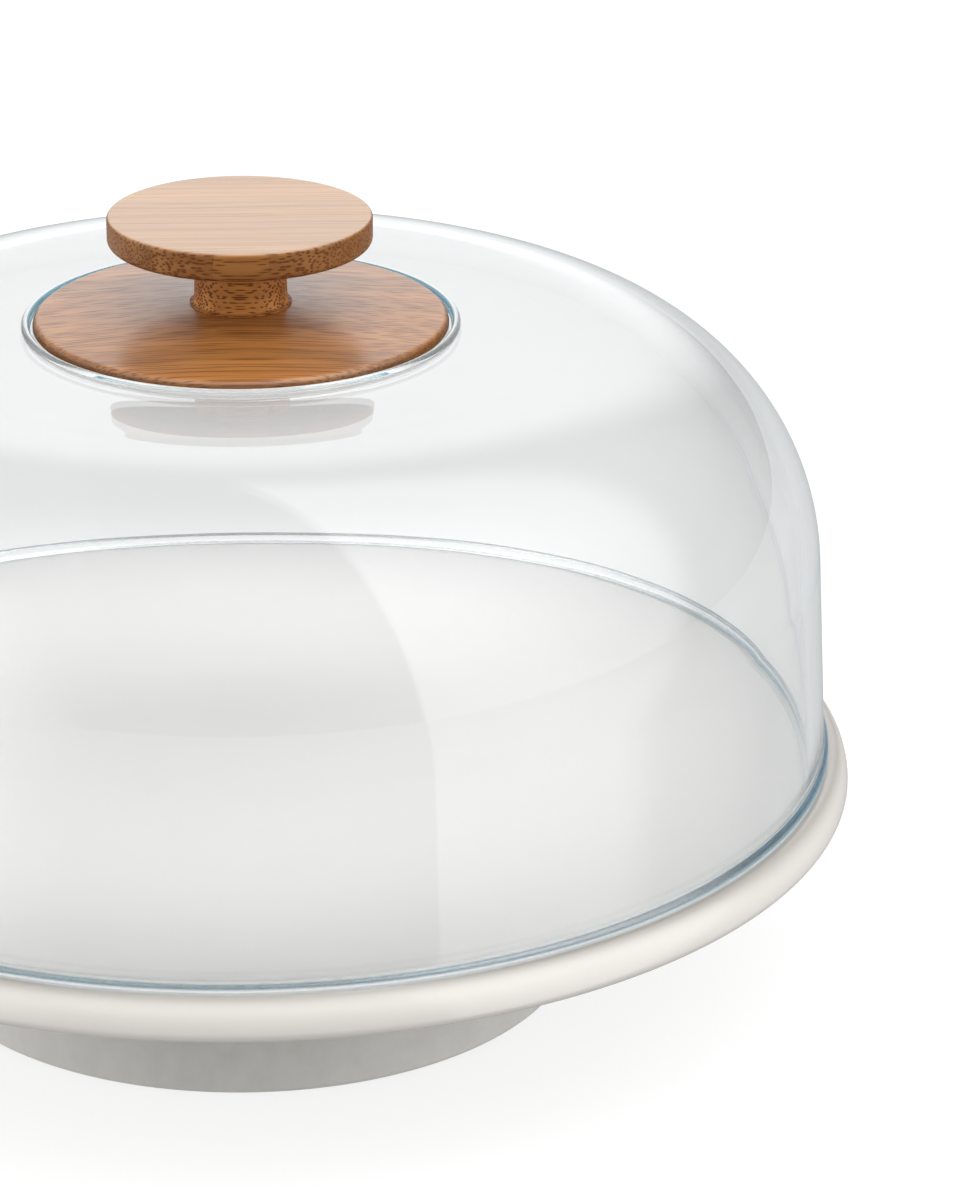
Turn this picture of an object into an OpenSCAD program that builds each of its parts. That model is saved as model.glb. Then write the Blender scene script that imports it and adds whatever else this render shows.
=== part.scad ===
// Footed cake stand with a lift-off glass dome and a turned bamboo knob.
// Millimetres, +Z up. The origin is the centre of the circle that the four pads stand on.

/* [Plate] */
// Diameter of the serving plate
plate_d = 310.5; // [304:0.5:322]
// Height of the plate's seat for the dome above the table
seat_h = 60.8; // [50:0.2:75]
// Thickness of the plate inside its rolled rim
plate_t = 6.3; // [5.5:0.1:8]
// Height of the rolled rim
rim_h = 10.2; // [9.5:0.1:12]
// Height of the raised centre that keeps the dome in place
centre_rise = 0.8; // [0.5:0.1:1.5]

/* [Foot] */
// Diameter of the foot where it stands
foot_d = 170; // [150:1:200]
// Lean of the foot's wall from the vertical, in degrees
foot_lean = 6; // [0:1:10]
// Thickness of the foot's wall
foot_wall = 5.5; // [4.5:0.5:8]
// Thickness of the foot's top web
web_t = 5; // [4.5:0.5:6]
// Height that the pads stand proud of the foot
pad_h = 0.8; // [0.6:0.1:1.5]

/* [Dome] */
// Diameter of the dome's beaded rim
dome_d = 300; // [294:1:302]
// Thickness of the glass
glass_t = 4.2; // [3.5:0.1:5]
// Lean of the dome's wall from the vertical, in degrees
wall_lean = 2.9; // [1:0.1:4]
// Height of the straight part of the wall
wall_h = 52.2; // [45:0.1:70]
// Outside radius of the shoulder between wall and top
shoulder_r = 64; // [55:1:70]

/* [Knob] */
// Diameter of the bamboo flange that sits on the glass
flange_d = 104; // [90:1:110]
// Height of the flange at its middle
flange_h = 5.5; // [5:0.1:8]
// Diameter of the grip
grip_d = 66; // [55:0.1:75]
// Thickness of the grip
grip_h = 7.2; // [6.5:0.1:12]
// Height of the neck between flange and grip
neck_h = 15.6; // [15:0.1:25]
// Diameter of the neck under the grip
neck_d = 22.5; // [20:0.1:28]

/* [Hidden] */
$fn = 96;

cut = 1;                   // how far a cutting solid runs past the face that it cuts

// Screws and inserts
screw_r = 3;               // M6
screw_gap = 0.3;           // between a screw and the hole that it passes through
screw_short = 1;           // how far a screw's end stops short of its insert's end
head_r = 5.8;
head_h = 3.3;
hex_across = 4;
insert_r = 4.5;
insert_spare = 0.5;        // how much deeper a blind hole is than its insert

// Plate
plate_r = plate_d / 2;
seat_lip = 4.8;            // how far the rim's rounded top reaches in from the plate's edge
rim_round = 2.8;           // radius under the rim
roll_w = 14;               // width over which the rim's underside rises to the plate's
land_r = plate_r - seat_lip;
centre_step = 1.2;         // width of the step round the raised centre
bead = 1;                  // how far the glass rim's bead stands proud of the wall
centre_r = dome_d / 2 - bead - glass_t - centre_step;
under_z = seat_h - plate_t;
boss_r = 13;
boss_h = 4.6;
boss_gap = 0.4;            // between the boss and the hole in the foot's web

// Foot and its fixing
gasket_t = 0.8;
foot_r = foot_d / 2;
foot_top = under_z - gasket_t;
foot_top_r = foot_r - (foot_top - pad_h) * tan(foot_lean);
foot_ring_w = 12;          // width of the ring that the pads are stuck to
foot_ring_h = 6;
ring_slope = 3;            // height of the slope from that ring to the wall
web_chamfer = 6;           // at the inside corner under the web
foot_edge = 1.4;           // rounding of the foot's two outer edges
gasket_inset = 4;          // from the foot's top edge to the gasket
pad_r = 3;
pad_ease = 0.3;
pad_inset = 7.5;           // from the foot's edge to a pad's centre
pad_ring_r = foot_r - pad_inset;
web_under = foot_top - web_t;
bush_r = 20;
bush_t = 1.5;
washer_r = 18;
washer_t = 1.5;
foot_insert_h = 8.5;
washer_bottom = web_under - bush_t - washer_t;

// Dome
rest_gap = 0.2;            // clearance that stands for the contact between glass and plate
dome_z = seat_h + rest_gap;
bead_r = 1.6;
bead_h = 3.6;
wall_r0 = dome_d / 2 - bead;
wall_top_r = wall_r0 - wall_h * tan(wall_lean);
shoulder_end = 3.1;        // slope at which the shoulder meets the top, in degrees
top_dish = 5.5;            // slope of the top where it meets the knob's ring, in degrees
shoulder_cr = wall_top_r - shoulder_r * cos(wall_lean);
shoulder_cz = wall_h - shoulder_r * sin(wall_lean);
top_r1 = shoulder_cr + shoulder_r * sin(shoulder_end);
top_z1 = shoulder_cz + shoulder_r * cos(shoulder_end);
ring_in = flange_d / 2 + 0.8;
ring_w = 2.1;
ring_foot = ring_in + ring_w;
ring_rise = 1.2;           // height of the ring above the glass at its foot
top_arc = (top_r1 - ring_foot) / (sin(shoulder_end) + sin(top_dish));
ring_z = top_z1 + top_arc * (cos(top_dish) - cos(shoulder_end));
seat_drop = 0.7;           // depth of the flat seat inside the ring, below the glass around it
knob_seat = dome_z + ring_z - seat_drop;
glass_hole_r = 4.5;
under_flat = 6;            // from the ring's inside to the flat under the seat

// Knob
seat_gasket_t = 0.5;
flange_r = flange_d / 2;
flange_z = knob_seat + seat_gasket_t;
flange_top = flange_z + flange_h;
flange_slope = 5.3;        // of the flange's cone, in degrees
edge_r = 2.2;              // rounding of the flange's edge
edge_foot = 0.2;           // height where that rounding starts
neck_r = neck_d / 2;
neck_foot_r = neck_r + 0.4;
cove_r = 1.1;              // hollow round the neck's foot
cove_lip = 0.3;            // height of the thin edge that the hollow ends in
neck_base_r = neck_foot_r + cove_r;
neck_top = flange_top + neck_h;
grip_r = grip_d / 2;
grip_top_edge = 0.9;
grip_low_edge = 1.6;
tenon_r = 5;
tenon_h = 4;
neck_insert_h = 11;
grommet_t = 1.5;
grommet_r = 13;
glass_under = knob_seat - glass_t;
clamp_under = glass_under - grommet_t - washer_t;
lock_t = 1.2;
lock_r = 5.6;
lock_slit = 0.8;

// Points on an arc about (cx, cz), from angle a0 to a1 in n steps
function arc(cx, cz, r, a0, a1, n = 12) =
    [for (i = [0 : n]) let (a = a0 + (a1 - a0) * i / n) [cx + r * cos(a), cz + r * sin(a)]];

// Points on an elliptical quarter, from the top of the ellipse to its outer end
function quarter(cx, cz, rx, rz, n = 12) =
    [for (i = [0 : n]) [cx + rx * sin(90 * i / n), cz + rz * cos(90 * i / n)]];

// Flat ring from radius r0 to r1, h high, standing on z
module ring(r0, r1, z, h) {
    translate([0, 0, z])
        difference() {
            cylinder(r = r1, h = h);
            translate([0, 0, -cut]) cylinder(r = r0, h = h + 2 * cut);
        }
}

// Button-head screw with a hex socket: head below z, shank l long above it
module button_screw(z, l) {
    socket = hex_across / cos(30) / 2;
    difference() {
        union() {
            translate([0, 0, z]) cylinder(r = screw_r, h = l);
            rotate_extrude()
                polygon(concat([[0, z]],
                    [for (p = quarter(0, 0, head_r, head_h, 8)) [p[0], z - p[1]]]));
        }
        translate([0, 0, z - head_h - cut]) cylinder(r = socket, h = head_h, $fn = 6);
    }
}

// Glazed plate: flat top with a raised centre, rolled rim, boss with a blind hole below
module serving_plate() {
    roll_steps = 8;
    hole_h = foot_insert_h + insert_spare + cut;
    color([0.93, 0.92, 0.90])
        difference() {
            rotate_extrude($fn = 180)
                polygon(concat(
                    [[0, seat_h + centre_rise]],
                    quarter(centre_r - centre_step, seat_h, centre_step, centre_rise, 6),
                    quarter(land_r, seat_h - rim_h + rim_round, seat_lip, rim_h - rim_round, 16),
                    arc(plate_r - rim_round, seat_h - rim_h + rim_round, rim_round, -12, -90, 7),
                    [for (i = [1 : roll_steps])
                        [plate_r - rim_round - roll_w * i / roll_steps,
                            seat_h - rim_h + (rim_h - plate_t) * (1 - cos(180 * i / roll_steps)) / 2]],
                    [[boss_r, under_z], [boss_r, under_z - boss_h], [0, under_z - boss_h]]));
            translate([0, 0, under_z - boss_h - cut]) cylinder(r = insert_r, h = hole_h);
        }
}

// Hollow foot: leaning wall, top web with a hole for the plate's boss, wider ring at the bottom
module pedestal_foot() {
    lean = tan(foot_lean);
    inner_r = foot_r - foot_wall;
    ring_top = foot_ring_h + ring_slope;
    color([0.86, 0.85, 0.83])
        difference() {
            rotate_extrude($fn = 180)
                polygon(concat(
                    arc(foot_r - foot_edge, pad_h + foot_edge, foot_edge, -90, 0, 6),
                    arc(foot_top_r - foot_edge, foot_top - foot_edge, foot_edge, 0, 90, 6),
                    [[0, foot_top], [0, web_under]],
                    [[inner_r - (web_under - pad_h) * lean - web_chamfer, web_under],
                        [inner_r - (web_under - pad_h - web_chamfer) * lean, web_under - web_chamfer],
                        [inner_r - ring_top * lean, pad_h + ring_top],
                        [foot_r - foot_ring_w, pad_h + foot_ring_h],
                        [foot_r - foot_ring_w, pad_h]]));
            translate([0, 0, web_under - cut]) cylinder(r = boss_r + boss_gap, h = web_t + 2 * cut);
        }
}

// Thin silicone ring between plate and foot
module foot_gasket() {
    color([0.90, 0.90, 0.88]) ring(boss_r + 2, foot_top_r - gasket_inset, foot_top, gasket_t);
}

// Threaded insert bonded into the plate's boss
module plate_insert() {
    color("goldenrod") ring(screw_r, insert_r, under_z - boss_h, foot_insert_h);
}

// Soft washer under the foot's web
module foot_bush() {
    color([0.90, 0.90, 0.88]) ring(screw_r + screw_gap, bush_r, web_under - bush_t, bush_t);
}

// Wide steel washer that carries the screw's load
module foot_washer() {
    color("silver") ring(screw_r + screw_gap, washer_r, washer_bottom, washer_t);
}

// Screw that clamps the foot to the plate
module foot_screw() {
    reach = under_z - boss_h + foot_insert_h - screw_short - washer_bottom;
    color("silver") button_screw(washer_bottom, reach);
}

// Four silicone pads under the foot's ring
module foot_pads() {
    color([0.80, 0.80, 0.80])
        for (a = [45 : 90 : 315]) {
            rotate([0, 0, a]) translate([pad_ring_r, 0, 0]) {
                cylinder(r1 = pad_r - pad_ease, r2 = pad_r, h = pad_ease, $fn = 48);
                translate([0, 0, pad_ease]) cylinder(r = pad_r, h = pad_h - pad_ease, $fn = 48);
            }
        }
}

// Outside of the dome from its rim to the ring round the knob
function dome_outside() = concat(
    [[wall_r0 + bead - bead_r, 0]],
    arc(wall_r0 + bead - bead_r, bead_r, bead_r, -75, 10, 7),
    [[wall_r0 - bead_h * tan(wall_lean), bead_h]],
    arc(shoulder_cr, shoulder_cz, shoulder_r, wall_lean, 90 - shoulder_end, 28),
    [for (i = [1 : 10]) let (a = shoulder_end - (shoulder_end + top_dish) * i / 10)
        [top_r1 - top_arc * (sin(shoulder_end) - sin(a)), top_z1 + top_arc * (cos(a) - cos(shoulder_end))]]);

// Inside of the dome from the middle of its top back to the rim
function dome_inside() = concat(
    [[0, ring_z - seat_drop - glass_t], [ring_in - under_flat, ring_z - seat_drop - glass_t]],
    [for (i = [10 : -1 : 1]) let (a = shoulder_end - (shoulder_end + top_dish) * i / 10)
        [top_r1 - (top_arc - glass_t) * (sin(shoulder_end) - sin(a)) - glass_t * sin(shoulder_end),
            top_z1 + top_arc * (cos(a) - cos(shoulder_end)) - glass_t * cos(a)]],
    arc(shoulder_cr, shoulder_cz, shoulder_r - glass_t, 90 - shoulder_end, wall_lean, 28),
    arc(wall_r0 - glass_t + 1, 1, 1, 180, 262, 4));

// Glass dome with a ring on top that holds the flange, and a hole for the knob's screw
module glass_dome() {
    tip = ring_w / 2;
    color([0.80, 0.90, 0.95, 0.35])
        translate([0, 0, dome_z])
            difference() {
                rotate_extrude($fn = 180)
                    polygon(concat(
                        dome_outside(),
                        arc(ring_in + tip, ring_z + ring_rise - tip, tip, 15, 180, 9),
                        [[ring_in, ring_z - seat_drop], [0, ring_z - seat_drop]],
                        dome_inside()));
                cylinder(r = glass_hole_r, h = ring_z + cut);
            }
}

// Thin silicone disc between glass and flange
module seat_gasket() {
    color([0.90, 0.90, 0.88]) ring(glass_hole_r, flange_r - 1.6, knob_seat, seat_gasket_t);
}

// Turned bamboo flange: flat below, shallow cone above, rounded edge
module knob_flange() {
    edge_z = flange_z + edge_foot;
    color([0.80, 0.62, 0.42])
        difference() {
            rotate_extrude($fn = 120)
                polygon(concat(
                    [[0, flange_z], [flange_r - 0.1, flange_z]],
                    arc(flange_r - edge_r, edge_z, edge_r, 0, 90 - flange_slope, 8),
                    [[neck_base_r - 0.3, flange_top], [0, flange_top]]));
            translate([0, 0, flange_z - cut]) cylinder(r = screw_r + screw_gap, h = flange_h + 2 * cut);
        }
}

// Turned neck that spreads into a hollow at its foot, with a tenon that goes into the grip
module knob_neck() {
    hole_h = neck_insert_h + insert_spare + cut;
    color([0.74, 0.54, 0.34])
        difference() {
            rotate_extrude()
                polygon(concat(
                    [[0, flange_top], [neck_base_r, flange_top]],
                    arc(neck_base_r, flange_top + cove_lip + cove_r, cove_r, 270, 180, 8),
                    [[neck_r, neck_top], [tenon_r, neck_top],
                        [tenon_r, neck_top + tenon_h], [0, neck_top + tenon_h]]));
            translate([0, 0, flange_top - cut]) cylinder(r = insert_r, h = hole_h);
        }
}

// Round grip with eased edges and a blind hole for the neck's tenon
module knob_grip() {
    low_z = neck_top + grip_low_edge;
    top_z = neck_top + grip_h - grip_top_edge;
    color([0.84, 0.68, 0.48])
        difference() {
            rotate_extrude($fn = 120)
                polygon(concat(
                    [[0, neck_top]],
                    arc(grip_r - grip_low_edge, low_z, grip_low_edge, -90, 0, 6),
                    arc(grip_r - grip_top_edge, top_z, grip_top_edge, 0, 90, 6),
                    [[0, neck_top + grip_h]]));
            translate([0, 0, neck_top - cut]) cylinder(r = tenon_r, h = tenon_h + cut);
        }
}

// Brass insert in the neck that takes the screw
module neck_insert() {
    color("goldenrod") ring(screw_r, insert_r, flange_top, neck_insert_h);
}

// Soft grommet: washer under the glass with a sleeve through its hole
module inner_grommet() {
    color([0.90, 0.90, 0.88]) {
        ring(screw_r + screw_gap, grommet_r, glass_under - grommet_t, grommet_t);
        ring(screw_r + screw_gap, glass_hole_r, glass_under, glass_t);
    }
}

// Steel washer under the grommet
module clamp_washer() {
    color("silver") ring(screw_r + screw_gap, grommet_r - 1, clamp_under, washer_t);
}

// Spring washer: a ring with a narrow slit
module lock_washer() {
    color("silver")
        difference() {
            ring(screw_r + screw_gap, lock_r, clamp_under - lock_t, lock_t);
            translate([screw_r, -lock_slit / 2, clamp_under - lock_t - cut])
                cube([lock_r, lock_slit, lock_t + 2 * cut]);
        }
}

// Screw that clamps the knob to the glass
module knob_screw() {
    reach = flange_top + neck_insert_h - screw_short - clamp_under + lock_t;
    color("silver") button_screw(clamp_under - lock_t, reach);
}

serving_plate();
pedestal_foot();
foot_gasket();
plate_insert();
foot_bush();
foot_washer();
foot_screw();
foot_pads();
glass_dome();
seat_gasket();
knob_flange();
knob_neck();
knob_grip();
neck_insert();
inner_grommet();
clamp_washer();
lock_washer();
knob_screw();
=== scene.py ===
"""Looks of the footed cake stand with its glass dome and bamboo knob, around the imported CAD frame.

Metres, +Z up. Every visible piece is turned about the Z axis from an outline of (radius, height)
points, whose places come from the frame's boxes. The bamboo's grain runs along X.
"""

import math

import bmesh
import bpy
from mathutils import Matrix, Vector


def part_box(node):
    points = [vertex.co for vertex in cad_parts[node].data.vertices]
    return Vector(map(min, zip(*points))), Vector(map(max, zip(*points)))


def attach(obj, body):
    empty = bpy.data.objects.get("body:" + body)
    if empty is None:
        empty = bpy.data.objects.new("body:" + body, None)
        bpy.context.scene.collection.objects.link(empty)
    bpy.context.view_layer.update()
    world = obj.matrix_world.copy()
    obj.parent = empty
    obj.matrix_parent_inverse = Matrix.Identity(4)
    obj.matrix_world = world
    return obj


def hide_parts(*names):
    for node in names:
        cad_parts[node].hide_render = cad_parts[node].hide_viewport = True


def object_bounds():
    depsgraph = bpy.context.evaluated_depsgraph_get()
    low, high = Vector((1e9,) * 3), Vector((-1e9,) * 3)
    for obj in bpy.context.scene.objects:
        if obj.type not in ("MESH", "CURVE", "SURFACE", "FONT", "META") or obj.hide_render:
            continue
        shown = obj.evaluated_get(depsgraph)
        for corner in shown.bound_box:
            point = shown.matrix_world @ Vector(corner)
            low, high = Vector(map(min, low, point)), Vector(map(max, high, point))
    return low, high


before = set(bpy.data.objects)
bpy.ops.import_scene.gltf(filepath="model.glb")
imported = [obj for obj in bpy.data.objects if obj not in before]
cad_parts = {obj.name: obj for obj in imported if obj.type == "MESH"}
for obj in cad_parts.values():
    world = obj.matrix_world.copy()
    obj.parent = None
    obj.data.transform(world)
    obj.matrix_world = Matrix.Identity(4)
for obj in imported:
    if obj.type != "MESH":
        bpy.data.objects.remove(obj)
cad_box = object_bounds()

# ---------------------------------------------------------------- sizes that the outlines share

# How close to a corner a straight stretch is split, and the steps of the fine curves
CORNER_SUPPORT = 0.0003
EDGE_STEPS = 4
ROLL_STEPS = 14
BLEND_STEPS = 12
TOP_STEPS = 24

# Plate
CENTRE_RISE = 0.0008
CENTRE_STEP = 0.0012
RIM_H = 0.0102
RIM_LIP = 0.0048
RIM_ROUND = 0.0028
ROLL_W = 0.014
PLATE_T = 0.0063
BOSS_R = 0.013
INSERT_R = 0.0045
INSERT_DEPTH = 0.009
BOSS_FILLET = 0.0015
BOSS_EDGE = 0.0005

# Foot
FOOT_LEAN = math.radians(6)
FOOT_WALL = 0.0055
FOOT_RING_W = 0.012
FOOT_RING_H = 0.006
FOOT_EDGE = 0.0014
WEB_T = 0.005
WEB_FILLET = 0.006
WEB_GAP = 0.0004
RING_SLOPE = 0.003
RING_TOP_EDGE = 0.0006
RING_LOW_EDGE = 0.0008
PAD_R = 0.003
PAD_EDGE = 0.0004
PAD_EASE = 0.0001
PAD_STRAIGHT = 0.7

# Dome
GLASS_T = 0.0042
BEAD = 0.001
BEAD_R = 0.0016
BEAD_H = 0.0036
WALL_LEAN = math.radians(2.9)
WALL_H = 0.0522
SHOULDER_R = 0.064
SHOULDER_END = math.radians(3.1)
TOP_DISH = math.radians(5.5)
RING_GAP = 0.0008
RING_W = 0.0021
SEAT_DROP = 0.0007
GLASS_HOLE_R = 0.0045
HOLE_LIP = 0.0003
SEAT_ROUND = 0.0004
SEAT_FLAT = 0.008
RIM_INNER_EDGE = 0.001
WALL_SUPPORT = 0.002

# Knob
FLANGE_SLOPE = math.radians(5.3)
FLANGE_EDGE = 0.0022
FLANGE_FOOT = 0.0002
FLANGE_EASE = 0.0003
FLANGE_TOP_EASE = 0.0002
GRIP_TOP_EDGE = 0.0009
GRIP_LOW_EDGE = 0.0016
TENON_R = 0.005
TENON_EDGE = 0.0003
COVE_R = 0.0011
COVE_LIP = 0.00015
NECK_TAPER = 0.0004
NECK_POCKET = 0.0115

# Fasteners
SCREW_R = 0.003
BORE_GAP = 0.0003
THREAD_PITCH = 0.001
THREAD_DEPTH = 0.0006
THREAD_ROWS = 6
SOCKET_ACROSS = 0.004
SOCKET_DEPTH = 0.001
HEAD_H = 0.0033
HEAD_EASE = 0.0002
POINT_EASE = 0.0005
RUN_OUT = 0.001
SAME_R = 0.0001
KNURLS = 16
KNURL_DEPTH = 0.00035
KNURL_ROW = 0.00025
BAND_H = 0.0008
BAND_DEPTH = 0.0003
INNER_DEPTH = 0.0003
END_BAND_H = 0.0005
SLIT_W = 0.0008
WIRE_EDGE = 0.0001
GROMMET_EDGE = 0.0004
GASKET_GAP = 0.002
GASKET_EDGE = 0.0003
BUSH_EDGE = 0.0004
WASHER_EDGE = 0.0002


# ---------------------------------------------------------------- outlines and meshes

def arc(cx, cz, radius, start, end, steps=12):
    """Points on an arc about (cx, cz), from angle start to end in degrees."""
    turns = [math.radians(start + (end - start) * i / steps) for i in range(steps + 1)]
    return [(cx + radius * math.cos(a), cz + radius * math.sin(a)) for a in turns]


def quarter(cx, cz, wide, high, steps=16):
    """Points on a quarter ellipse, from its top to its outer end."""
    turns = [math.radians(90 * i / steps) for i in range(steps + 1)]
    return [(cx + wide * math.sin(a), cz + high * math.cos(a)) for a in turns]


def with_supports(outline, longest=0.004):
    """The closed outline with its long straight stretches split, so that shading stays true."""
    points = []
    for here, after in zip(outline, outline[1:] + outline[:1]):
        length = math.dist(here, after)
        points.append(here)
        if length > longest:
            parts = math.ceil(length / longest)
            tight = min(CORNER_SUPPORT, length / 8)
            shares = [tight / length] + [i / parts for i in range(1, parts)] + [1 - tight / length]
            for share in shares:
                points.append(tuple(a + (b - a) * share for a, b in zip(here, after)))
    return points


def linked(name, mesh):
    """A new object with this mesh, in the scene."""
    made = bpy.data.objects.new(name, mesh)
    bpy.context.scene.collection.objects.link(made)
    return made


def mesh_from(name, shape):
    """A new mesh from a bmesh, which is freed."""
    mesh = bpy.data.meshes.new(name)
    shape.to_mesh(mesh)
    shape.free()
    return mesh


def smooth_piece(name, shape, sharp=38):
    """A bmesh as an object, shaded smooth except at edges sharper than an angle in degrees."""
    mesh = mesh_from(name, shape)
    mesh.shade_smooth()
    mesh.set_sharp_from_angle(angle=math.radians(sharp))
    return linked(name, mesh)


def lathe(name, outline, steps=192, relief=None, sharp=38):
    """A closed solid of revolution. relief(radius, height, angle) may change a point's radius."""
    on_axis = 1e-7
    shape = bmesh.new()
    rings = []
    for radius, height in with_supports(outline):
        if radius < on_axis:
            rings.append([shape.verts.new((0, 0, height))])
            continue
        ring = []
        for i in range(steps):
            angle = 2 * math.pi * i / steps
            r = relief(radius, height, angle) if relief else radius
            ring.append(shape.verts.new((r * math.cos(angle), r * math.sin(angle), height)))
        rings.append(ring)
    for here, after in zip(rings, rings[1:] + rings[:1]):
        for i in range(steps):
            j = (i + 1) % steps
            corners = [here[i % len(here)], here[j % len(here)]]
            corners += [after[j % len(after)], after[i % len(after)]]
            distinct = list(dict.fromkeys(corners))
            if len(distinct) > 2:
                shape.faces.new(distinct)
    bmesh.ops.recalc_face_normals(shape, faces=shape.faces)
    return smooth_piece(name, shape, sharp)


def thread_share(height, angle):
    """Depth of a screw thread at a point, from 0 at its crest to 1 at its root."""
    turn = (height / THREAD_PITCH - angle / (2 * math.pi)) % 1
    return abs(2 * turn - 1)


def place(piece, material, body, cad_node):
    """Gives a piece its material and its body, and hides the CAD node that it stands for."""
    piece.data.materials.clear()
    piece.data.materials.append(material)
    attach(piece, body)
    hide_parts(cad_node)


# ---------------------------------------------------------------- shader helpers

def new_material(name):
    """An empty material with a Principled shader: (material, tree, shader, output)."""
    material = bpy.data.materials.new(name)
    material.use_nodes = True
    tree = material.node_tree
    tree.nodes.clear()
    output = tree.nodes.new("ShaderNodeOutputMaterial")
    shader = tree.nodes.new("ShaderNodeBsdfPrincipled")
    tree.links.new(shader.outputs[0], output.inputs["Surface"])
    return material, tree, shader, output


def node(tree, kind, inputs=None, **settings):
    """Adds a node. Each input is a value, or another node's output to link."""
    made = tree.nodes.new(kind)
    for key, value in settings.items():
        setattr(made, key, value)
    for key, value in (inputs or {}).items():
        if isinstance(value, bpy.types.NodeSocket):
            tree.links.new(value, made.inputs[key])
        else:
            made.inputs[key].default_value = value
    return made


def coords(tree, scale=(1, 1, 1), shift=(0, 0, 0)):
    """The piece's own coordinates in metres, scaled and shifted."""
    where = node(tree, "ShaderNodeTexCoord")
    inputs = {"Vector": where.outputs["Object"], "Scale": scale, "Location": shift}
    return node(tree, "ShaderNodeMapping", inputs).outputs[0]


def shifted(tree, vector, **offsets):
    """A vector moved by its X, Y and Z offsets, which are outputs of other nodes."""
    step = node(tree, "ShaderNodeCombineXYZ", offsets).outputs[0]
    return node(tree, "ShaderNodeVectorMath", {0: vector, 1: step}, operation="ADD").outputs[0]


def split(tree, vector):
    """The X, Y and Z of a vector, by name."""
    return node(tree, "ShaderNodeSeparateXYZ", {0: vector}).outputs


def along(tree, vector, aim):
    """How far a vector reaches along a direction."""
    return node(tree, "ShaderNodeVectorMath", {0: vector, 1: aim}, operation="DOT_PRODUCT").outputs["Value"]


def noise(tree, vector, scale, detail=2.0, roughness=0.5):
    """Soft noise from 0 to 1."""
    inputs = {"Vector": vector, "Scale": scale, "Detail": detail, "Roughness": roughness}
    return node(tree, "ShaderNodeTexNoise", inputs).outputs[0]


def random_value(tree, seed):
    """A steady random value from 0 to 1 for each seed."""
    return node(tree, "ShaderNodeTexWhiteNoise", {"W": seed}, noise_dimensions="1D").outputs[0]


def remap(tree, value, low, high, to_low=0.0, to_high=1.0):
    """Stretches low..high to to_low..to_high, held at both ends."""
    inputs = {"Value": value, "From Min": low, "From Max": high, "To Min": to_low, "To Max": to_high}
    return node(tree, "ShaderNodeMapRange", inputs, clamp=True).outputs[0]


def smooth(tree, value, low, high, to_low=0.0, to_high=1.0):
    """As remap, with soft ends."""
    inputs = {"Value": value, "From Min": low, "From Max": high, "To Min": to_low, "To Max": to_high}
    return node(tree, "ShaderNodeMapRange", inputs, interpolation_type="SMOOTHSTEP").outputs[0]


def sums(tree, kind, a, b=None):
    """One step of arithmetic on one or two values."""
    inputs = {0: a} if b is None else {0: a, 1: b}
    return node(tree, "ShaderNodeMath", inputs, operation=kind).outputs[0]


def from_axis(tree, parts):
    """Distance from the Z axis, from split coordinates."""
    flat = node(tree, "ShaderNodeCombineXYZ", {"X": parts["X"], "Y": parts["Y"]}).outputs[0]
    return node(tree, "ShaderNodeVectorMath", {0: flat}, operation="LENGTH").outputs["Value"]


def blend_colour(tree, share, first, second, kind="MIX"):
    """The first colour, with a share of the second."""
    inputs = {0: share, 6: first, 7: second}
    return node(tree, "ShaderNodeMix", inputs, data_type="RGBA", blend_type=kind).outputs[2]


def bump(tree, shader, height, distance, after=None):
    """Relief up to a distance in metres, on top of another bump's normal if one is given."""
    inputs = {"Height": height, "Distance": distance}
    if after is not None:
        inputs["Normal"] = after
    made = node(tree, "ShaderNodeBump", inputs)
    tree.links.new(made.outputs[0], shader.inputs["Normal"])
    return made.outputs[0]


# ---------------------------------------------------------------- materials

GLASS_IOR = 1.5
GLASS_WAVE = 0.00003
RIM_ROUGHNESS = 0.25
GLASS_BLUE = (0.25, 0.68, 0.83, 1)
GLASS_DENSITY = 6.0
GLASS_TINTS = (0.998, 0.9925, 0.990, 1), (1.0, 0.996, 0.994, 1)
EDGE_BLUE = (0.20, 0.58, 0.76, 1)
EDGE_CLARITY = 0.55
EDGE_TILT = 0.15, 0.45
EDGE_REACH = 0.38, 0.78


def clear_glass():
    """Soda-lime glass: clear, faintly wavy, with a ground rim that is blue where it is seen along it."""
    material, tree, shader, output = new_material("clear_glass")
    shader.inputs["IOR"].default_value = GLASS_IOR
    rim_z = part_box("glass_dome")[0].z
    height = split(tree, coords(tree))["Z"]
    at_rim = smooth(tree, height, rim_z + BEAD_R, rim_z + BEAD_H, 1.0, 0.0)
    tree.links.new(sums(tree, "MULTIPLY", at_rim, RIM_ROUGHNESS), shader.inputs["Roughness"])

    tilt = split(tree, node(tree, "ShaderNodeTexCoord").outputs["Normal"])["Z"]
    level = smooth(tree, sums(tree, "MULTIPLY", tilt, tilt), *EDGE_TILT, 1.0, 0.0)
    turned_away = node(tree, "ShaderNodeLayerWeight").outputs["Facing"]
    along_rim = sums(tree, "MULTIPLY", level, smooth(tree, turned_away, *EDGE_REACH))
    edge_on = sums(tree, "MULTIPLY", at_rim, along_rim)
    tint = blend_colour(tree, noise(tree, coords(tree), 18.0), *GLASS_TINTS)
    tint = blend_colour(tree, edge_on, tint, EDGE_BLUE)
    tree.links.new(tint, shader.inputs["Base Color"])
    clarity = remap(tree, edge_on, 0.0, 1.0, 1.0, EDGE_CLARITY)
    tree.links.new(clarity, shader.inputs["Transmission Weight"])

    wave = noise(tree, coords(tree, (1, 1, 2.2)), 22.0, detail=1.0)
    bump(tree, shader, wave, GLASS_WAVE)
    depth = node(tree, "ShaderNodeVolumeAbsorption", {"Color": GLASS_BLUE, "Density": GLASS_DENSITY})
    tree.links.new(depth.outputs[0], output.inputs["Volume"])
    return material


# Painted shadow: a darker ring of glaze just outside the glass, standing in for the shade of the dome's rim
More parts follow.
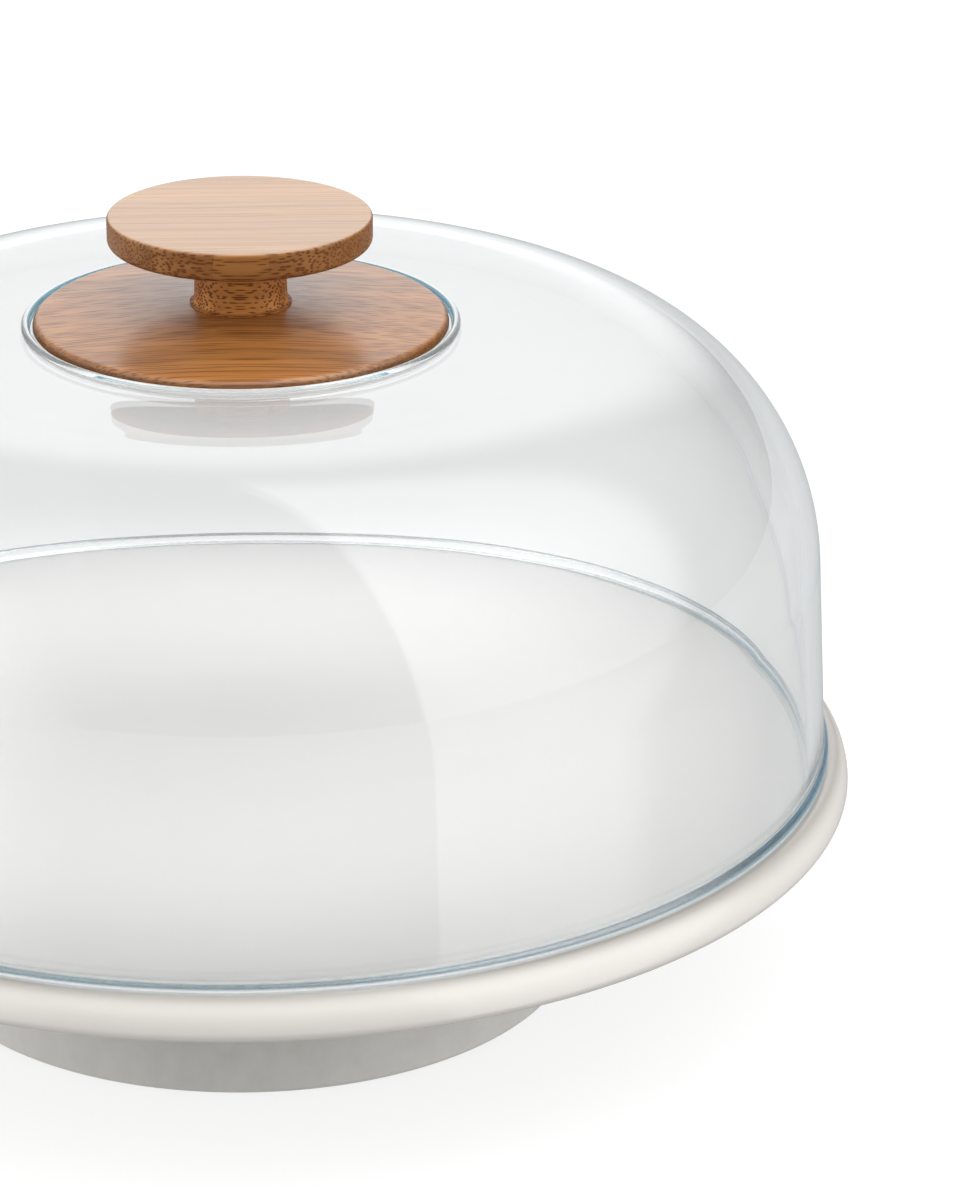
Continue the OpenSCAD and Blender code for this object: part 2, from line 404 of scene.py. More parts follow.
CONTACT_SHADOW_W = 0.0042
# Painted light and shade: the same glaze is lighter in the centre, under the dome, and darker over the rim
GLAZE_LIT_CENTRE = (0.955, 0.935, 0.905, 1), (0.975, 0.96, 0.935, 1)
GLAZE_SHADED_RIM = (0.69, 0.66, 0.62, 1), (0.72, 0.69, 0.65, 1)
GLAZE_CONTACT_SHADOW = (0.42, 0.395, 0.365, 1)
GLAZE_SPECK = (0.55, 0.50, 0.44, 1)
SPECK_SHARE = 0.12
PEEL = 0.0002
GLAZE_GRAIN = 0.00001


def plate_glaze():
    """Glossy warm white glaze with a faint orange peel, painted lighter in the centre and darker over the
    rim, with a painted shadow in a ring just outside the glass.
    """
    material, tree, shader, _ = new_material("plate_glaze")
    here = coords(tree)
    drift = noise(tree, here, 14.0, detail=3.0)
    reach = from_axis(tree, split(tree, here))
    glass_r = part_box("glass_dome")[1].x
    # Painted light in the centre and painted shade over the rim, from one glaze
    centre = blend_colour(tree, drift, *GLAZE_LIT_CENTRE)
    rim = blend_colour(tree, drift, *GLAZE_SHADED_RIM)
    # Painted shadow of the dome's rim on the plate, in the ring just outside the glass
    groove = smooth(tree, reach, glass_r + BEAD, glass_r + BEAD + CONTACT_SHADOW_W, 1.0, 0.0)
    rim = blend_colour(tree, groove, rim, GLAZE_CONTACT_SHADOW)
    tone = blend_colour(tree, smooth(tree, reach, glass_r - BEAD, glass_r), centre, rim)
    specks = remap(tree, noise(tree, here, 900.0), 0.66, 0.74)
    tone = blend_colour(tree, sums(tree, "MULTIPLY", specks, SPECK_SHARE), tone, GLAZE_SPECK)
    tree.links.new(tone, shader.inputs["Base Color"])
    gloss = remap(tree, noise(tree, here, 60.0, detail=3.0), 0.3, 0.7, 0.16, 0.24)
    tree.links.new(gloss, shader.inputs["Roughness"])
    shader.inputs["Coat Weight"].default_value = 0.4
    shader.inputs["Coat Roughness"].default_value = 0.06
    wave = bump(tree, shader, noise(tree, here, 60.0), PEEL)
    bump(tree, shader, noise(tree, here, 700.0), GLAZE_GRAIN, after=wave)
    return material


STONEWARE = (0.56, 0.55, 0.52, 1), (0.63, 0.617, 0.59, 1)
STONEWARE_DRIFT = (0.54, 0.53, 0.49, 1)
STONEWARE_RELIEF = 0.00006
STONEWARE_GRAIN = 0.000015


def foot_ceramic():
    """Satin stoneware under a thin matt glaze, finely mottled."""
    material, tree, shader, _ = new_material("foot_ceramic")
    here = coords(tree)
    mottle = noise(tree, here, 160.0, detail=4.0, roughness=0.6)
    tone = blend_colour(tree, remap(tree, mottle, 0.3, 0.7), *STONEWARE)
    drift = noise(tree, coords(tree, shift=(0.3, 0.1, 0.7)), 12.0)
    tone = blend_colour(tree, sums(tree, "MULTIPLY", drift, 0.3), tone, STONEWARE_DRIFT)
    tree.links.new(tone, shader.inputs["Base Color"])
    gloss = remap(tree, mottle, 0.3, 0.7, 0.48, 0.62)
    tree.links.new(gloss, shader.inputs["Roughness"])
    wave = bump(tree, shader, mottle, STONEWARE_RELIEF)
    bump(tree, shader, noise(tree, here, 1400.0), STONEWARE_GRAIN, after=wave)
    return material


STRIP_W = 0.0072
LIGHT_WOOD = (0.47, 0.200, 0.055, 1)
DEEP_WOOD = (0.33, 0.118, 0.025, 1)
BUNDLE = 0.00082
BUNDLE_TONE = (0.105, 0.028, 0.006, 1)
# Painted sheen on faces that look up
SHEEN_TONE = (0.61, 0.45, 0.30, 1)
GRAIN_LEAN = 0.0022
GRAIN_RELIEF = 0.00004


def bamboo(name, shift, coat, painted_sheen, side_shading):
    """Laminated bamboo: strips side by side along Y, fibres and dark vascular bundles along X.

    Faces that look up have a coat of oil and a painted sheen: a share of a paler tone, over which the
    bundles show fainter.
    The sides' brightness is scaled by painted shade, which turns to painted light where the factor is above
    1.
    """
    material, tree, shader, _ = new_material(name)
    here = coords(tree, shift=shift)
    warp = noise(tree, coords(tree, (1, 0.6, 0.6), shift), 26.0, detail=1.0)
    lean = sums(tree, "MULTIPLY", sums(tree, "SUBTRACT", warp, 0.5), GRAIN_LEAN)
    bent = shifted(tree, here, Y=lean, Z=lean)
    parts = split(tree, bent)
    strip = sums(tree, "FLOOR", sums(tree, "DIVIDE", parts["Y"], STRIP_W))
    strip_tone = random_value(tree, strip)
    strip_density = random_value(tree, sums(tree, "ADD", sums(tree, "MULTIPLY", strip, 7.31), 0.37))

    def along_grain(x, yz, detail=2.0):
        """Noise drawn out along X, shifted from strip to strip."""
        moved = shifted(tree, bent, X=sums(tree, "MULTIPLY", strip_tone, 3.0))
        stretched = node(tree, "ShaderNodeMapping", {"Vector": moved, "Scale": (x, yz, yz)})
        return noise(tree, stretched.outputs[0], 1.0, detail=detail)

    fibre = along_grain(30.0, 1500.0, 3.0)
    streak = along_grain(16.0, 330.0)
    band = along_grain(9.0, 120.0)
    tone = blend_colour(tree, remap(tree, streak, 0.32, 0.68), DEEP_WOOD, LIGHT_WOOD)
    tone = blend_colour(tree, remap(tree, fibre, 0.35, 0.75, 0.0, 0.35), tone, LIGHT_WOOD)
    shade = remap(tree, strip_tone, 0.0, 1.0, 0.80, 1.08)
    shade = sums(tree, "MULTIPLY", shade, remap(tree, band, 0.3, 0.7, 0.88, 1.06))
    upward = split(tree, node(tree, "ShaderNodeTexCoord").outputs["Normal"])["Z"]
    # Painted shade on the sides: their brightness times a factor that is painted shade below 1 and painted
    # light above 1, as on the neck
    shade = sums(tree, "MULTIPLY", shade, smooth(tree, upward, 0.5, 0.97, side_shading, 1.0))
    grey = node(tree, "ShaderNodeCombineColor", {0: shade, 1: shade, 2: shade}).outputs[0]
    tone = blend_colour(tree, 1.0, tone, grey, kind="MULTIPLY")

    cell = node(tree, "ShaderNodeCombineXYZ", {"X": parts["Y"], "Y": parts["Z"]}).outputs[0]
    cell_inputs = {"Vector": cell, "Scale": 1 / BUNDLE}
    spot = node(tree, "ShaderNodeTexVoronoi", cell_inputs, voronoi_dimensions="2D").outputs["Distance"]
    size = remap(tree, strip_density, 0.0, 1.0, 0.28, 0.38)
    size = sums(tree, "MULTIPLY", size, remap(tree, along_grain(80.0, 260.0), 0.35, 0.65, 0.85, 1.1))
    pore = remap(tree, sums(tree, "SUBTRACT", spot, size), -0.12, 0.05, 1.0, 0.0)
    # Painted sheen: faces that look up take a share of a paler tone, and their bundles show fainter
    tone = blend_colour(tree, smooth(tree, upward, 0.6, 0.98, 0.0, painted_sheen), tone, SHEEN_TONE)
    faint = smooth(tree, upward, 0.6, 0.98, 0.85, 0.60 - painted_sheen)
    tone = blend_colour(tree, sums(tree, "MULTIPLY", pore, faint), tone, BUNDLE_TONE)
    tree.links.new(tone, shader.inputs["Base Color"])

    gloss = remap(tree, fibre, 0.3, 0.7, 0.36, 0.50)
    gloss = sums(tree, "ADD", gloss, sums(tree, "MULTIPLY", pore, 0.15))
    tree.links.new(gloss, shader.inputs["Roughness"])
    shader.inputs["Specular IOR Level"].default_value = 0.2
    if coat:
        tree.links.new(smooth(tree, upward, 0.4, 0.95, 0.0, coat), shader.inputs["Coat Weight"])
    shader.inputs["Coat Roughness"].default_value = 0.27
    shader.inputs["Coat IOR"].default_value = 1.7
    relief = sums(tree, "SUBTRACT", sums(tree, "MULTIPLY", fibre, 0.5), pore)
    bump(tree, shader, relief, GRAIN_RELIEF)
    return material


MILKY = (0.74, 0.75, 0.74, 1), (0.84, 0.84, 0.82, 1)
SILICONE_GRAIN = 0.00001


def silicone():
    """Milky silicone with a soft sheen."""
    material, tree, shader, _ = new_material("silicone")
    cloud = noise(tree, coords(tree), 220.0, detail=3.0)
    tree.links.new(blend_colour(tree, cloud, *MILKY), shader.inputs["Base Color"])
    tree.links.new(remap(tree, cloud, 0.3, 0.7, 0.42, 0.6), shader.inputs["Roughness"])
    shader.inputs["Subsurface Weight"].default_value = 0.25
    shader.inputs["Subsurface Scale"].default_value = 0.001
    bump(tree, shader, noise(tree, coords(tree), 2600.0), SILICONE_GRAIN)
    return material


STEEL = (0.55, 0.55, 0.56, 1), (0.70, 0.70, 0.70, 1)
STEEL_ROUGHNESS = 0.22, 0.40
BRASS = (0.66, 0.47, 0.20, 1), (0.80, 0.60, 0.28, 1)
BRASS_ROUGHNESS = 0.25, 0.42
TURNING_RELIEF = 0.000008


def turned_metal(name, tones, roughness):
    """Machined metal: rings left by the turning and an uneven polish."""
    material, tree, shader, _ = new_material(name)
    where = coords(tree)
    parts = split(tree, where)
    rings = node(tree, "ShaderNodeCombineXYZ", {"X": from_axis(tree, parts), "Z": parts["Z"]}).outputs[0]
    groove = noise(tree, rings, 5200.0)
    cloud = noise(tree, where, 380.0, detail=3.0)
    tree.links.new(blend_colour(tree, cloud, *tones), shader.inputs["Base Color"])
    shader.inputs["Metallic"].default_value = 1.0
    polish = sums(tree, "MULTIPLY", sums(tree, "ADD", groove, cloud), 0.5)
    tree.links.new(remap(tree, polish, 0.3, 0.7, *roughness), shader.inputs["Roughness"])
    bump(tree, shader, groove, TURNING_RELIEF)
    return material


FLOOR_TONES = (0.25, 0.25, 0.25, 1), (0.27, 0.27, 0.27, 1)
FLOOR_GLOW = 0.76
GLOW_BEHIND_GLASS = 0.49


def pale_floor():
    """Plain pale studio floor, softly lit from within so that shadows stay light."""
    material, tree, shader, _ = new_material("pale_floor")
    tone = blend_colour(tree, noise(tree, coords(tree), 1.5), *FLOOR_TONES)
    tree.links.new(tone, shader.inputs["Base Color"])
    shader.inputs["Roughness"].default_value = 0.9
    shader.inputs["Specular IOR Level"].default_value = 0.0
    shader.inputs["Emission Color"].default_value = (1, 1, 1, 1)
    seen_direct = node(tree, "ShaderNodeLightPath").outputs["Is Camera Ray"]
    glow = remap(tree, seen_direct, 0.0, 1.0, GLOW_BEHIND_GLASS, FLOOR_GLOW)
    tree.links.new(glow, shader.inputs["Emission Strength"])
    return material


# ---------------------------------------------------------------- pieces of the stand

def serving_plate():
    """Glazed plate: raised centre, rounded rim that turns under, boss with a blind hole."""
    low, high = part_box("serving_plate")
    seat = high.z - CENTRE_RISE
    under = seat - PLATE_T
    centre_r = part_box("glass_dome")[1].x - BEAD - GLASS_T - CENTRE_STEP
    rim_foot = seat - RIM_H + RIM_ROUND
    outline = [(0, high.z)]
    outline += quarter(centre_r - CENTRE_STEP, seat, CENTRE_STEP, CENTRE_RISE, 8)
    outline += quarter(high.x - RIM_LIP, rim_foot, RIM_LIP, RIM_H - RIM_ROUND, 28)
    outline += arc(high.x - RIM_ROUND, rim_foot, RIM_ROUND, -8, -90, 10)
    for i in range(1, ROLL_STEPS + 1):
        share = i / ROLL_STEPS
        rise = (RIM_H - PLATE_T) * (1 - math.cos(math.pi * share)) / 2
        outline.append((high.x - RIM_ROUND - ROLL_W * share, seat - RIM_H + rise))
    outline += arc(BOSS_R + BOSS_FILLET, under - BOSS_FILLET, BOSS_FILLET, 90, 180, 6)
    outline += arc(BOSS_R - BOSS_EDGE, low.z + BOSS_EDGE, BOSS_EDGE, 0, -90, EDGE_STEPS)
    outline += [(INSERT_R, low.z), (INSERT_R, low.z + INSERT_DEPTH), (0, low.z + INSERT_DEPTH)]
    return lathe("plate", outline, 256)


def pedestal_foot():
    """Hollow ceramic foot: leaning wall, top web with a hole, wide ring that the pads are stuck to."""
    low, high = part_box("pedestal_foot")
    lean = math.tan(FOOT_LEAN)
    foot_r = high.x
    top_r = foot_r - (high.z - low.z) * lean
    web_under = high.z - WEB_T
    inner_r = foot_r - FOOT_WALL
    ring_r = foot_r - FOOT_RING_W
    hole_r = BOSS_R + WEB_GAP
    degrees = math.degrees(FOOT_LEAN)
    outline = arc(foot_r - FOOT_EDGE, low.z + FOOT_EDGE, FOOT_EDGE, -90, degrees, 8)
    outline += arc(top_r - FOOT_EDGE, high.z - FOOT_EDGE, FOOT_EDGE, degrees, 90, 8)
    outline += [(hole_r, high.z), (hole_r, web_under)]
    corner_r = inner_r - (web_under - low.z) * lean
    outline += arc(corner_r - WEB_FILLET, web_under - WEB_FILLET, WEB_FILLET, 90, degrees, 8)
    ledge = low.z + FOOT_RING_H
    outline.append((inner_r - (FOOT_RING_H + RING_SLOPE) * lean, ledge + RING_SLOPE))
    outline += [(ring_r + RING_TOP_EDGE, ledge + RING_TOP_EDGE), (ring_r, ledge)]
    outline += [(ring_r, low.z + RING_LOW_EDGE), (ring_r + RING_LOW_EDGE, low.z)]
    return lathe("foot", outline, 224)


def flat_ring(name, source, inner_r, edge, steps=128):
    """A washer or gasket with eased edges, in the place of a CAD node."""
    low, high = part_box(source)
    outer_r = high.x
    outline = arc(inner_r + edge, low.z + edge, edge, 180, 270, EDGE_STEPS)
    outline += arc(outer_r - edge, low.z + edge, edge, -90, 0, EDGE_STEPS)
    outline += arc(outer_r - edge, high.z - edge, edge, 0, 90, EDGE_STEPS)
    outline += arc(inner_r + edge, high.z - edge, edge, 90, 180, EDGE_STEPS)
    return lathe(name, outline, steps)


def foot_pads():
    """Four silicone pads with domed edges, made as one piece under the foot's ring."""
    low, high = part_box("foot_pads")
    ease_z = low.z + (high.z - low.z) * PAD_STRAIGHT
    ring_r = (high.x - PAD_R) * math.sqrt(2)
    outline = [(0, low.z)] + arc(PAD_R - PAD_EDGE, low.z + PAD_EDGE, PAD_EDGE, -90, 0, EDGE_STEPS)
    outline += [(PAD_R, ease_z), (PAD_R - PAD_EASE, high.z), (0, high.z)]
    pads = [lathe("foot_pad", outline, 48) for _ in range(4)]
    for i, pad in enumerate(pads):
        turn = math.radians(45 + 90 * i)
        pad.data.transform(Matrix.Translation((ring_r * math.cos(turn), ring_r * math.sin(turn), 0)))
    return joined("pads", pads)


def joined(name, parts):
    """Joins meshes that are already in place into one piece."""
    whole = bmesh.new()
    for part in parts:
        whole.from_mesh(part.data)
    for part in parts:
        bpy.data.objects.remove(part)
    return smooth_piece(name, whole)


def hex_cutter(top_z):
    """Hexagonal bar that cuts a screw's socket, up to a height."""
    bar = bmesh.new()
    corner_r = SOCKET_ACROSS / math.sqrt(3)
    centre = Matrix.Translation((0, 0, top_z - HEAD_H / 2))
    bmesh.ops.create_cone(bar, cap_ends=True, segments=6, radius1=corner_r, radius2=corner_r,
                          depth=HEAD_H, matrix=centre)
    return linked("socket", mesh_from("socket", bar))


def subtract(piece, cutter):
    """Cuts one object out of another, and removes the cutter."""
    cut = piece.modifiers.new("socket", "BOOLEAN")
    cut.object = cutter
    cut.operation = "DIFFERENCE"
    cut.solver = "EXACT"
    bpy.context.view_layer.update()
    result = piece.evaluated_get(bpy.context.evaluated_depsgraph_get())
    mesh = bpy.data.meshes.new_from_object(result)
    piece.modifiers.clear()
    piece.data = mesh
    bpy.data.objects.remove(cutter)


def screw(name, source):
    """Button-head screw: domed head below with a hex socket, threaded shank above."""
    low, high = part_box(source)
    neck_z = low.z + HEAD_H
    shank = high.z - neck_z
    outline = [(r, neck_z - h) for r, h in quarter(0, 0, high.x, HEAD_H, 14)]
    outline += [(high.x - HEAD_EASE, neck_z), (SCREW_R, neck_z)]
    rows = math.ceil(shank / THREAD_PITCH * THREAD_ROWS)
    outline += [(SCREW_R, neck_z + shank * i / rows) for i in range(1, rows)]
    outline += [(SCREW_R - POINT_EASE, high.z), (0, high.z)]

    def thread(radius, height, angle):
        """Cuts the thread into the shank, from its run-out up."""
        if height <= neck_z + RUN_OUT or radius < SCREW_R - SAME_R:
            return radius
        return radius - THREAD_DEPTH * thread_share(height, angle)

    piece = lathe(name, outline, 48, thread, sharp=50)
    subtract(piece, hex_cutter(neck_z - SOCKET_DEPTH))
    return piece


def knurled_insert(name, source):
    """Brass insert: crossed knurls outside with two plain bands, thread inside."""
    low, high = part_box(source)
    outer_r = high.x
    length = high.z - low.z
    rows = math.ceil(length / KNURL_ROW)
    outline = [(outer_r, low.z + length * i / rows) for i in range(rows + 1)]
    outline += [(SCREW_R, high.z - length * i / rows) for i in range(rows + 1)]

    def surface(radius, height, angle):
        """Knurls the outside between its plain bands, and threads the bore."""
        if radius < outer_r - SAME_R:
            return radius + INNER_DEPTH * thread_share(height, angle)
        middle = abs(height - (low.z + high.z) / 2)
        if middle < BAND_H / 2 or middle > length / 2 - END_BAND_H:
            return radius - BAND_DEPTH
        twist = (height - low.z) / outer_r
        ridge = abs(math.sin(KNURLS * (angle + twist) / 2))
        ridge *= abs(math.sin(KNURLS * (angle - twist) / 2))
        return radius - KNURL_DEPTH * (1 - ridge)

    return lathe(name, outline, 96, surface, sharp=60)


# ---------------------------------------------------------------- pieces of the dome

def dome_curve(inset=0.0):
    """Outline of the glass from the top of its bead to the ring's foot, inset by a thickness.

    Heights are above the rim.
    """
    rim_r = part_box("glass_dome")[1].x
    wall_r = rim_r - BEAD
    top_of_wall = wall_r - WALL_H * math.tan(WALL_LEAN)
    centre_r = top_of_wall - SHOULDER_R * math.cos(WALL_LEAN)
    centre_z = WALL_H - SHOULDER_R * math.sin(WALL_LEAN)
    end_r = centre_r + SHOULDER_R * math.sin(SHOULDER_END)
    end_z = centre_z + SHOULDER_R * math.cos(SHOULDER_END)
    ring_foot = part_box("knob_flange")[1].x + RING_GAP + RING_W
    top_arc = (end_r - ring_foot) / (math.sin(SHOULDER_END) + math.sin(TOP_DISH))
    first, last = math.degrees(WALL_LEAN), 90 - math.degrees(SHOULDER_END)
    curve = arc(centre_r, centre_z, SHOULDER_R - inset, first, last, 64)
    for i in range(1, TOP_STEPS + 1):
        slope = SHOULDER_END - (SHOULDER_END + TOP_DISH) * i / TOP_STEPS
        inward = top_arc * (math.sin(SHOULDER_END) - math.sin(slope))
        upward = top_arc * (math.cos(slope) - math.cos(SHOULDER_END))
        curve.append((end_r - inward - inset * math.sin(slope), end_z + upward - inset * math.cos(slope)))
    return wall_r, curve


def glass_dome():
    """Clear glass dome: beaded rim, leaning wall, round shoulder, dished top with a ring and a seat."""
    low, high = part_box("glass_dome")
    rim_r = high.x
    wall_r, outside = dome_curve()
    inside = dome_curve(GLASS_T)[1]
    outline = arc(rim_r - BEAD_R, BEAD_R, BEAD_R, -90, 0, 14)
    bulge = BEAD + BEAD_R * math.tan(WALL_LEAN)
    for i in range(1, BLEND_STEPS):
        share = i / BLEND_STEPS
        height = BEAD_R + (BEAD_H - BEAD_R) * share
        ease = (1 + math.cos(math.pi * share)) / 2
        outline.append((wall_r - height * math.tan(WALL_LEAN) + bulge * ease, height))
    wall_heights = (BEAD_H, BEAD_H + WALL_SUPPORT, WALL_H - WALL_SUPPORT)
    outline += [(wall_r - h * math.tan(WALL_LEAN), h) for h in wall_heights]
    outline += outside

    ring_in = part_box("knob_flange")[1].x + RING_GAP
    tip = RING_W / 2
    tip_z = high.z - low.z - tip
    seat = outside[-1][1] - SEAT_DROP
    under = seat - GLASS_T
    outline += arc(ring_in + tip, tip_z, tip, 8, 180, 14)
    outline += arc(ring_in - SEAT_ROUND, seat + SEAT_ROUND, SEAT_ROUND, 0, -90, EDGE_STEPS)
    outline += [(GLASS_HOLE_R + HOLE_LIP, seat), (GLASS_HOLE_R, seat - HOLE_LIP)]
    outline += [(GLASS_HOLE_R, under + HOLE_LIP), (GLASS_HOLE_R + HOLE_LIP, under)]
    outline += [(ring_in - SEAT_FLAT, under)] + inside[::-1]
    edge = RIM_INNER_EDGE
    outline += arc(wall_r - GLASS_T + edge, edge, edge, 180, 270, 8)
    return lathe("dome_glass", [(r, h + low.z) for r, h in outline], 288)


def knob_flange():
    """Turned flange: flat below, shallow cone above, rounded edge, screw hole."""
    low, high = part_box("knob_flange")
    edge_z = low.z + FLANGE_FOOT
    hole_r = SCREW_R + BORE_GAP
    neck_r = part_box("knob_neck")[1].x
    outline = [(hole_r, low.z), (high.x - FLANGE_EASE, low.z)]
    outline += arc(high.x - FLANGE_EDGE, edge_z, FLANGE_EDGE, 0, 90 - math.degrees(FLANGE_SLOPE), 14)
    outline += [(neck_r - FLANGE_TOP_EASE, high.z), (hole_r, high.z)]
    return lathe("flange", outline, 224)


def knob_neck():
    """Turned neck: a hollow round its foot, slight taper, tenon that goes into the grip."""
    low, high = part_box("knob_neck")
    grip_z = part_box("knob_grip")[0].z
    pocket_z = low.z + NECK_POCKET
    outline = [(INSERT_R, low.z), (high.x - COVE_LIP, low.z), (high.x, low.z + COVE_LIP)]
    outline += arc(high.x, low.z + 2 * COVE_LIP + COVE_R, COVE_R, 270, 180, 12)
    outline += [(high.x - COVE_R - NECK_TAPER, grip_z), (TENON_R, grip_z)]
    outline += [(TENON_R, high.z - TENON_EDGE), (TENON_R - TENON_EDGE, high.z)]
    outline += [(0, high.z), (0, pocket_z), (INSERT_R, pocket_z)]
    return lathe("neck", outline, 144)


def knob_grip():
    """Round grip with eased edges and a blind hole for the tenon."""
    low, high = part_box("knob_grip")
    tenon_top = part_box("knob_neck")[1].z
    outline = [(TENON_R, low.z)]
    outline += arc(high.x - GRIP_LOW_EDGE, low.z + GRIP_LOW_EDGE, GRIP_LOW_EDGE, -90, 0, 10)
    outline += arc(high.x - GRIP_TOP_EDGE, high.z - GRIP_TOP_EDGE, GRIP_TOP_EDGE, 0, 90, 10)
    outline += [(0, high.z), (0, tenon_top), (TENON_R, tenon_top)]
    return lathe("grip", outline, 224)


def inner_grommet():
    """Soft grommet: a washer under the glass with a sleeve up through its hole."""
    low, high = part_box("inner_grommet")
    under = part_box("glass_dome")[0].z + dome_curve()[1][-1][1] - SEAT_DROP - GLASS_T
    hole_r = SCREW_R + BORE_GAP
    edge = GROMMET_EDGE
    outline = [(hole_r, low.z)] + arc(high.x - edge, low.z + edge, edge, -90, 0, EDGE_STEPS)
    outline += arc(high.x - edge, under - edge, edge, 0, 90, EDGE_STEPS)
    outline += [(GLASS_HOLE_R, under), (GLASS_HOLE_R, high.z), (hole_r, high.z)]
    return lathe("grommet", outline, 112)


def lock_washer():
    """Spring washer: a square wire ring, cut at one place."""
    low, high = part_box("lock_washer")
    inner_r = SCREW_R + BORE_GAP
    outer_r = -low.x
    half_slit = math.asin(SLIT_W / (inner_r + outer_r))
    steps = 96
    section = [(inner_r, low.z), (outer_r - WIRE_EDGE, low.z), (outer_r, low.z + WIRE_EDGE)]
    section += [(outer_r, high.z - WIRE_EDGE), (outer_r - WIRE_EDGE, high.z), (inner_r, high.z)]
    shape = bmesh.new()
    rows = []
    for i in range(steps + 1):
        angle = half_slit + (2 * math.pi - 2 * half_slit) * i / steps
        row = [(r * math.cos(angle), r * math.sin(angle), z) for r, z in section]
        rows.append([shape.verts.new(point) for point in row])
    for here, after in zip(rows, rows[1:]):
        for k in range(len(section)):
            m = (k + 1) % len(section)
            shape.faces.new((here[k], here[m], after[m], after[k]))
    shape.faces.new(rows[0])
    shape.faces.new(rows[-1])
    bmesh.ops.recalc_face_normals(shape, faces=shape.faces)
    return smooth_piece("spring_washer", shape)


# ---------------------------------------------------------------- studio

CAMERA_PLACE = Vector((0, -1.13288, 0.55816))
CAMERA_YAW = math.radians(3.076)
CAMERA_PITCH = math.radians(22.109)
CAMERA_ROLL = math.radians(0.31)
CAMERA_LENS = 143.34
SENSOR_W = 36


def add_camera():
    """Camera at the photograph's viewing angle."""
    data = bpy.data.cameras.new("camera")
    data.lens = CAMERA_LENS
    data.sensor_width = SENSOR_W
    camera = bpy.data.objects.new("camera", data)
    bpy.context.scene.collection.objects.link(camera)
    level = Vector((math.sin(CAMERA_YAW), math.cos(CAMERA_YAW), 0))
    ahead = level * math.cos(CAMERA_PITCH) - Vector((0, 0, math.sin(CAMERA_PITCH)))
    right = Vector((math.cos(CAMERA_YAW), -math.sin(CAMERA_YAW), 0))
    up = right.cross(ahead)
    turn = Matrix((right, up, -ahead)).transposed() @ Matrix.Rotation(CAMERA_ROLL, 3, "Z")
    camera.matrix_world = Matrix.Translation(CAMERA_PLACE) @ turn.to_4x4()
    bpy.context.scene.camera = camera


FLOOR_R = 30


def add_floor():
    """Wide round pale floor at the height that the pads stand on."""
    disc = bmesh.new()
    bmesh.ops.create_circle(disc, cap_ends=True, segments=96, radius=FLOOR_R)
    floor = linked("floor", mesh_from("floor", disc))
    floor.location.z = cad_box[0].z
    floor.data.materials.append(pale_floor())
    floor.visible_diffuse = False
    floor.visible_glossy = False


GLASS_BOUNCES = 64         # light runs a long way along the glass wall

# Radiance of the surroundings, where white on screen is 1
SKY_LOW = 0.50
SKY_HORIZON = 0.30
SKY_TOP = 1.88
BACK_SHARE = 0.2
BACKDROP_GLOW = 0.92
SIDE_GLOW = 1.2
FILL_GLOW = 1.0
FRONT_SHARE = 0.20

# Directions of the surroundings, and how far round each reaches, from its edge to its full strength
BACKDROP_AIM = Vector((0, math.cos(math.radians(24)), math.sin(math.radians(24))))
BACKDROP_REACH = 0.84, 0.96
SIDE_AIM = (0.933, 0.353, 0.068)
SIDE_REACH = 0.215, 0.227
SIDE_SLANT = 0.5
SIDE_FADE = -0.1, 0.15
FRONT_AIM = (0.1, -0.93, -0.35)
FRONT_REACH = 0.55, 0.95
FILL_REACH = -0.8, -0.5
CEILING_REACH = -0.02, 0.95
BACK_REACH = -0.2, 0.35
BACK_HEIGHT = 0.0, 0.3
LOW_REACH = -0.12, 0.0


def add_studio():
    """Pale surroundings: a bright ceiling, dimmer at the back and front, with lights on three sides.

    They are a soft backdrop behind, a tall softbox at the right and a soft fill at the left.
    """
    world = bpy.data.worlds.new("studio")
    world.use_nodes = True
    tree = world.node_tree
    sky = tree.nodes["Background"]
    away = node(tree, "ShaderNodeTexCoord").outputs["Generated"]
    parts = split(tree, away)
    ceiling = smooth(tree, parts["Z"], *CEILING_REACH, SKY_HORIZON, SKY_TOP)
    at_back = smooth(tree, parts["Y"], *BACK_REACH, 0.0, 1.0 - BACK_SHARE)
    at_back = sums(tree, "MULTIPLY", at_back, smooth(tree, parts["Z"], *BACK_HEIGHT))
    ceiling = sums(tree, "MULTIPLY", ceiling, sums(tree, "SUBTRACT", 1.0, at_back))
    below = smooth(tree, parts["Z"], *LOW_REACH, SKY_LOW - SKY_HORIZON, 0.0)
    dimmed = smooth(tree, along(tree, away, FRONT_AIM), *FRONT_REACH, 1.0, FRONT_SHARE)
    room = sums(tree, "MULTIPLY", sums(tree, "ADD", ceiling, below), dimmed)

    backdrop = smooth(tree, along(tree, away, BACKDROP_AIM), *BACKDROP_REACH, 0.0, BACKDROP_GLOW)
    side = remap(tree, along(tree, away, SIDE_AIM), *SIDE_REACH, 0.0, SIDE_GLOW)
    behind = sums(tree, "SUBTRACT", parts["Y"], sums(tree, "MULTIPLY", parts["Z"], SIDE_SLANT))
    side = sums(tree, "MULTIPLY", side, smooth(tree, behind, *SIDE_FADE, 1.0, 0.0))
    fill = smooth(tree, parts["X"], *FILL_REACH, FILL_GLOW, 0.0)
    lights = sums(tree, "ADD", backdrop, sums(tree, "ADD", side, fill))
    tree.links.new(sums(tree, "ADD", room, lights), sky.inputs["Strength"])
    sky.inputs["Color"].default_value = (1, 1, 1, 1)

    scene = bpy.context.scene
    scene.world = world
    scene.view_settings.view_transform = "Standard"
    scene.cycles.glossy_bounces = GLASS_BOUNCES
    scene.cycles.transmission_bounces = GLASS_BOUNCES
    scene.cycles.max_bounces = GLASS_BOUNCES


# ---------------------------------------------------------------- assembly

